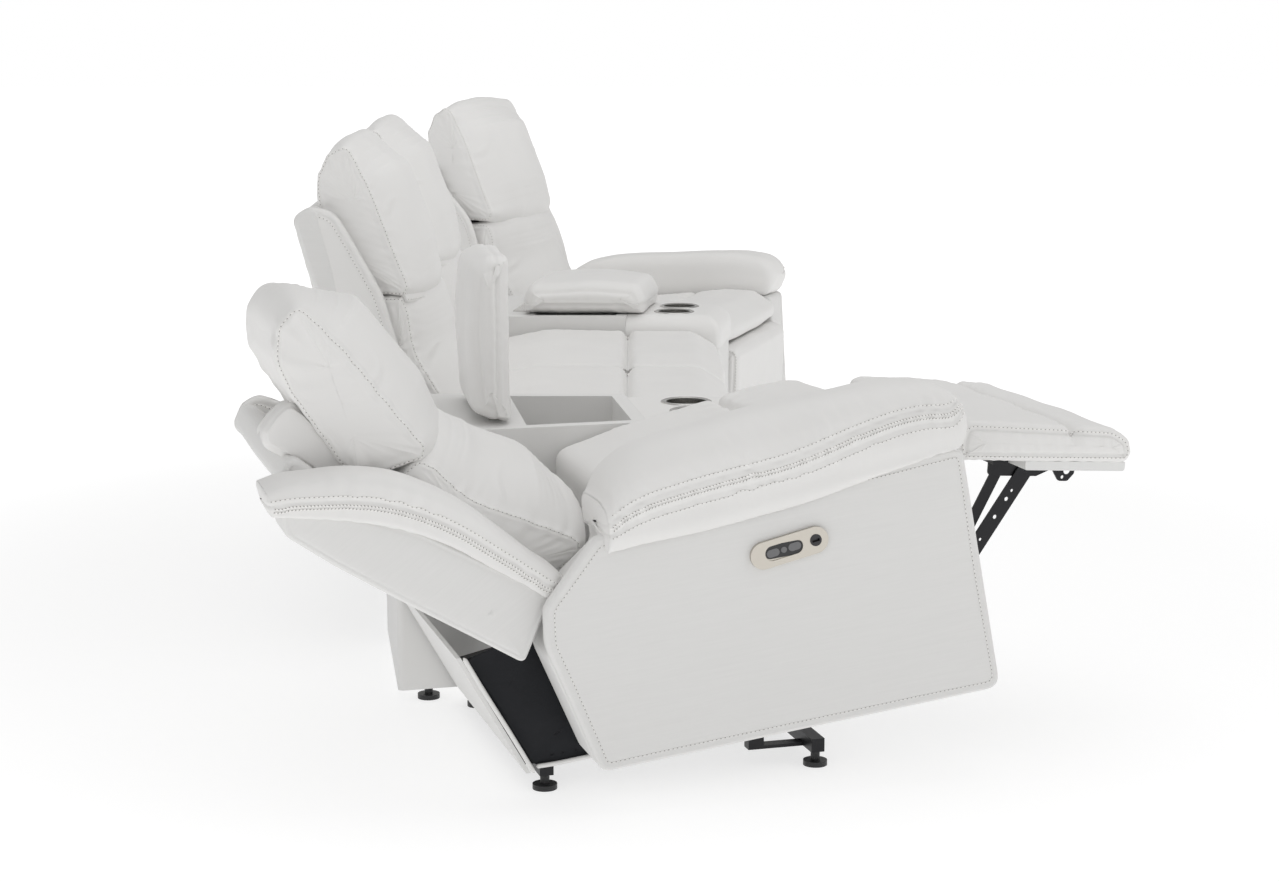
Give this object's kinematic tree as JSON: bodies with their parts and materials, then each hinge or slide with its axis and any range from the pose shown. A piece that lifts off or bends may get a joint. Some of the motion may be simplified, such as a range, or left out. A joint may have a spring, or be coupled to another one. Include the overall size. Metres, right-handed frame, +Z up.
{
  "type": "reclining sofa",
  "caption": "Curved modular reclining sofa: powered end recliners with flared pillow arms, wedge consoles with lidded bins and cup holders, and an upright middle pair",
  "frame": {"origin": "floor level, below the middle of the part's bounding box as stored (near end recliner open, far one closed)", "axes": "+X along the sofa from the open near recliner to the closed far one, +Y from the seats towards the rear, +Z up"},
  "size_m": [3.6682, 1.5975, 1.0378],
  "materials": {
    "upholstery_panels": "fine crosswise weave, matt",
    "upholstery_pads": "soft, low sheen",
    "mechanism_steel": "black, satin",
    "drive_casing": "black",
    "seat_frame": "plywood and softwood",
    "footrest_lining": "white lining over board",
    "control_plate": "satin champagne",
    "buttons": "dark grey",
    "port_plastic": "black",
    "cup_steel": "brushed",
    "hinge_steel": "plain",
    "foot_plastic": "black"
  },
  "bodies": {
    "frame": {"near_base_frame": "mechanism_steel", "far_base_frame": "mechanism_steel", "drive_units": "drive_casing", "rear_skirts": "upholstery_panels", "near_console_carcass": "upholstery_panels", "near_console_deck": "upholstery_pads", "far_console_carcass": "upholstery_panels", "far_console_deck": "upholstery_pads", "lid_hinges": "hinge_steel", "cup_holders": "cup_steel", "middle_base": "upholstery_panels", "middle_left_seat_cushion": "upholstery_pads", "middle_left_back_shell": "upholstery_panels", "middle_left_back_cushions": "upholstery_pads", "middle_right_seat_cushion": "upholstery_pads", "middle_right_back_shell": "upholstery_panels", "middle_right_back_cushions": "upholstery_pads", "floor_glides": "foot_plastic"},
    "near_slide": {"near_carriage": "mechanism_steel"},
    "near_seat": {"near_seat_box": "seat_frame", "near_seat_cushion": "upholstery_pads", "near_arm_panel": "upholstery_panels", "near_arm_pad": "upholstery_pads", "near_control_plate": "control_plate", "near_charging_port": "port_plastic"},
    "near_rear_button_body": {"near_rear_button": "buttons"},
    "near_front_button_body": {"near_front_button": "buttons"},
    "near_home_button_body": {"near_home_button": "buttons"},
    "near_lower_link_pair": {"near_lower_links": "mechanism_steel"},
    "near_upper_link_pair": {"near_upper_links": "mechanism_steel"},
    "near_stay_pair": {"near_link_stays": "mechanism_steel"},
    "near_footrest": {"near_footrest_board": "footrest_lining", "near_footrest_bracket": "mechanism_steel", "near_footrest_pad": "upholstery_pads"},
    "near_back": {"near_back_shell": "upholstery_panels", "near_lumbar_cushion": "upholstery_pads", "near_back_frame": "mechanism_steel"},
    "near_headrest": {"near_headrest_pad": "upholstery_pads"},
    "far_slide": {"far_carriage": "mechanism_steel"},
    "far_seat": {"far_seat_box": "seat_frame", "far_seat_cushion": "upholstery_pads", "far_arm_panel": "upholstery_panels", "far_arm_pad": "upholstery_pads", "far_control_plate": "control_plate", "far_charging_port": "port_plastic"},
    "far_rear_button_body": {"far_rear_button": "buttons"},
    "far_front_button_body": {"far_front_button": "buttons"},
    "far_home_button_body": {"far_home_button": "buttons"},
    "far_lower_link_pair": {"far_lower_links": "mechanism_steel"},
    "far_upper_link_pair": {"far_upper_links": "mechanism_steel"},
    "far_stay_pair": {"far_link_stays": "mechanism_steel"},
    "far_footrest": {"far_footrest_board": "footrest_lining", "far_footrest_bracket": "mechanism_steel", "far_footrest_pad": "upholstery_pads"},
    "far_back": {"far_back_shell": "upholstery_panels", "far_lumbar_cushion": "upholstery_pads", "far_back_frame": "mechanism_steel"},
    "far_headrest": {"far_headrest_pad": "upholstery_pads"},
    "near_lid_body": {"near_console_lid": "upholstery_pads"},
    "far_lid_body": {"far_console_lid": "upholstery_pads"}
  },
  "joints": [
    {"name": "near_slide_joint", "type": "slide", "parent": "frame", "child": "near_slide", "axis": [0.2656, -0.9385, 0.2207], "range_m": [-0.1699, 0]},
    {"name": "near_tilt_joint", "type": "hinge", "parent": "near_slide", "child": "near_seat", "pos_m": [-1.00608, 0.25277, 0.1675], "axis": [-0.9622, -0.2723, 0], "range_deg": [-7.5, 0]},
    {"name": "near_recline_joint", "type": "hinge", "parent": "near_seat", "child": "near_back", "pos_m": [-0.99415, 0.2106, 0.2943], "axis": [-0.9622, -0.2723, 0], "range_deg": [-30, 0]},
    {"name": "near_headrest_joint", "type": "hinge", "parent": "near_back", "child": "near_headrest", "pos_m": [-1.10373, 0.59786, 0.55269], "axis": [0.9622, 0.2723, 0], "range_deg": [-20, 0]},
    {"name": "near_lower_link_joint", "type": "hinge", "parent": "near_seat", "child": "near_lower_link_pair", "pos_m": [-0.87643, -0.20539, 0.38148], "axis": [-0.9622, -0.2723, 0], "range_deg": [-121.36, 0]},
    {"name": "near_upper_link_joint", "type": "hinge", "parent": "near_lower_link_pair", "child": "near_upper_link_pair", "pos_m": [-0.82659, -0.38153, 0.30654], "axis": [-0.9622, -0.2723, 0], "range_deg": [0, 83.32]},
    {"name": "near_stay_joint", "type": "hinge", "parent": "near_lower_link_pair", "child": "near_stay_pair", "pos_m": [-0.83325, -0.358, 0.30035], "axis": [-0.9622, -0.2723, 0], "range_deg": [0, 83.87]},
    {"name": "near_footrest_joint", "type": "hinge", "parent": "near_upper_link_pair", "child": "near_footrest", "pos_m": [-0.79351, -0.49843, 0.48392], "axis": [-0.9622, -0.2723, 0], "range_deg": [-40.96, 0]},
    {"name": "near_rear_button_joint", "type": "slide", "parent": "near_seat", "child": "near_rear_button_body", "axis": [0.9622, 0.2723, 0], "range_m": [0, 0.0015], "stiffness_N_per_m": 600, "springref_m": -0.001},
    {"name": "near_front_button_joint", "type": "slide", "parent": "near_seat", "child": "near_front_button_body", "axis": [0.9622, 0.2723, 0], "range_m": [0, 0.0015], "stiffness_N_per_m": 600, "springref_m": -0.001},
    {"name": "near_home_button_joint", "type": "slide", "parent": "near_seat", "child": "near_home_button_body", "axis": [0.9622, 0.2723, 0], "range_m": [0, 0.0015], "stiffness_N_per_m": 600, "springref_m": -0.001},
    {"name": "far_slide_joint", "type": "slide", "parent": "frame", "child": "far_slide", "axis": [-0.2656, -0.9385, 0.2207], "range_m": [0, 0.1699]},
    {"name": "far_tilt_joint", "type": "hinge", "parent": "far_slide", "child": "far_seat", "pos_m": [1.081, 0.41222, 0.13], "axis": [-0.9622, 0.2723, 0], "range_deg": [0, 7.5]},
    {"name": "far_recline_joint", "type": "hinge", "parent": "far_seat", "child": "far_back", "pos_m": [1.06466, 0.35448, 0.25], "axis": [-0.9622, 0.2723, 0], "range_deg": [0, 30]},
    {"name": "far_headrest_joint", "type": "hinge", "parent": "far_back", "child": "far_headrest", "pos_m": [1.10877, 0.51036, 0.7], "axis": [0.9622, -0.2723, 0], "range_deg": [0, 20]},
    {"name": "far_lower_link_joint", "type": "hinge", "parent": "far_seat", "child": "far_lower_link_pair", "pos_m": [0.94486, -0.06889, 0.28], "axis": [-0.9622, 0.2723, 0], "range_deg": [0, 121.36]},
    {"name": "far_upper_link_joint", "type": "hinge", "parent": "far_lower_link_pair", "child": "far_upper_link_pair", "pos_m": [0.99202, 0.09776, 0.18446], "axis": [-0.9622, 0.2723, 0], "range_deg": [-83.32, 0]},
    {"name": "far_stay_joint", "type": "hinge", "parent": "far_lower_link_pair", "child": "far_stay_pair", "pos_m": [0.98915, 0.08764, 0.20739], "axis": [-0.9622, 0.2723, 0], "range_deg": [-83.87, 0]},
    {"name": "far_footrest_joint", "type": "hinge", "parent": "far_upper_link_pair", "child": "far_footrest", "pos_m": [0.93438, -0.10594, 0.222], "axis": [-0.9622, 0.2723, 0], "range_deg": [0, 40.96]},
    {"name": "far_rear_button_joint", "type": "slide", "parent": "far_seat", "child": "far_rear_button_body", "axis": [-0.9622, 0.2723, 0], "range_m": [0, 0.0015], "stiffness_N_per_m": 600, "springref_m": -0.001},
    {"name": "far_front_button_joint", "type": "slide", "parent": "far_seat", "child": "far_front_button_body", "axis": [-0.9622, 0.2723, 0], "range_m": [0, 0.0015], "stiffness_N_per_m": 600, "springref_m": -0.001},
    {"name": "far_home_button_joint", "type": "slide", "parent": "far_seat", "child": "far_home_button_body", "axis": [-0.9622, 0.2723, 0], "range_m": [0, 0.0015], "stiffness_N_per_m": 600, "springref_m": -0.001},
    {"name": "near_lid_joint", "type": "hinge", "parent": "frame", "child": "near_lid_body", "pos_m": [-0.80946, 0.33055, 0.526], "axis": [-0.9905, -0.1374, 0], "range_deg": [-90, 0]},
    {"name": "far_lid_joint", "type": "hinge", "parent": "frame", "child": "far_lid_body", "pos_m": [0.83927, 0.33055, 0.526], "axis": [-0.9905, 0.1374, 0], "range_deg": [0, 90]}
  ],
  "couplings": [
    {"joint": "near_tilt_joint", "follows": "near_slide_joint", "rad_per_m": 0.77045},
    {"joint": "near_recline_joint", "follows": "near_slide_joint", "rad_per_m": 3.0818},
    {"joint": "near_upper_link_joint", "follows": "near_lower_link_joint", "ratio": -0.68658},
    {"joint": "near_stay_joint", "follows": "near_lower_link_joint", "ratio": -0.69114},
    {"joint": "near_footrest_joint", "follows": "near_lower_link_joint", "ratio": 0.33755},
    {"joint": "far_tilt_joint", "follows": "far_slide_joint", "rad_per_m": 0.77045},
    {"joint": "far_recline_joint", "follows": "far_slide_joint", "rad_per_m": 3.0818},
    {"joint": "far_upper_link_joint", "follows": "far_lower_link_joint", "ratio": -0.68658},
    {"joint": "far_stay_joint", "follows": "far_lower_link_joint", "ratio": -0.69114},
    {"joint": "far_footrest_joint", "follows": "far_lower_link_joint", "ratio": 0.33755}
  ]
}
